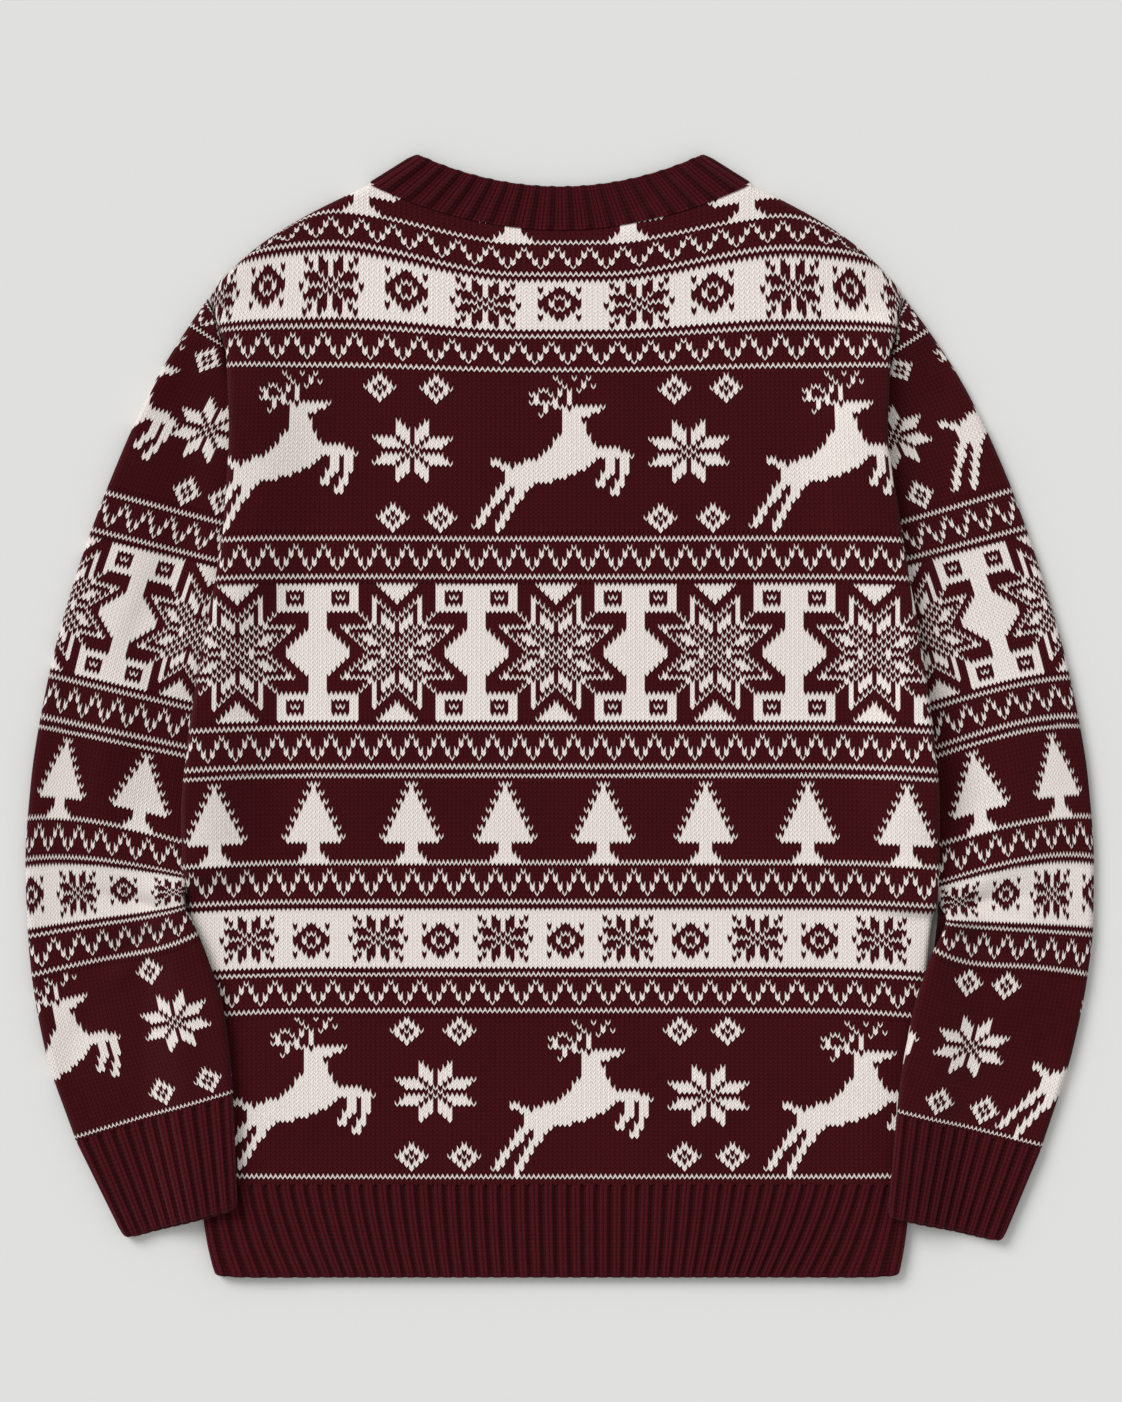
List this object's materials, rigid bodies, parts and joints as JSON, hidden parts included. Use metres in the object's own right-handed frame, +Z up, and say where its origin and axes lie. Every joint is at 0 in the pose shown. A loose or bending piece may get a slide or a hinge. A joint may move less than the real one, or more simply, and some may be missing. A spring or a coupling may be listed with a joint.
{
  "type": "christmas sweater",
  "caption": "Knitted crew-neck sweater with long sleeves, laid flat with its back up, with ribbed bands at neck, hem and wrists.",
  "frame": {"origin": "on the surface that the sweater lies on, under the centre of its outline", "axes": "+X across the body towards the sleeve at the right of the plan, +Y from the hem to the neck, +Z up from the surface"},
  "size_m": [0.6735, 0.7084, 0.0181],
  "materials": {
    "jacquard_knit": "two-colour knit, burgundy yarn patterned with cream, matt with a soft nap",
    "rib_knit": "burgundy rib knit, matt with a soft nap"
  },
  "bodies": {
    "root": {"back_panel": "jacquard_knit", "front_panel": "jacquard_knit", "sleeve_left": "jacquard_knit", "sleeve_right": "jacquard_knit", "neckband": "rib_knit", "hem_rib": "rib_knit", "wristband_left": "rib_knit", "wristband_right": "rib_knit"}
  },
  "joints": []
}
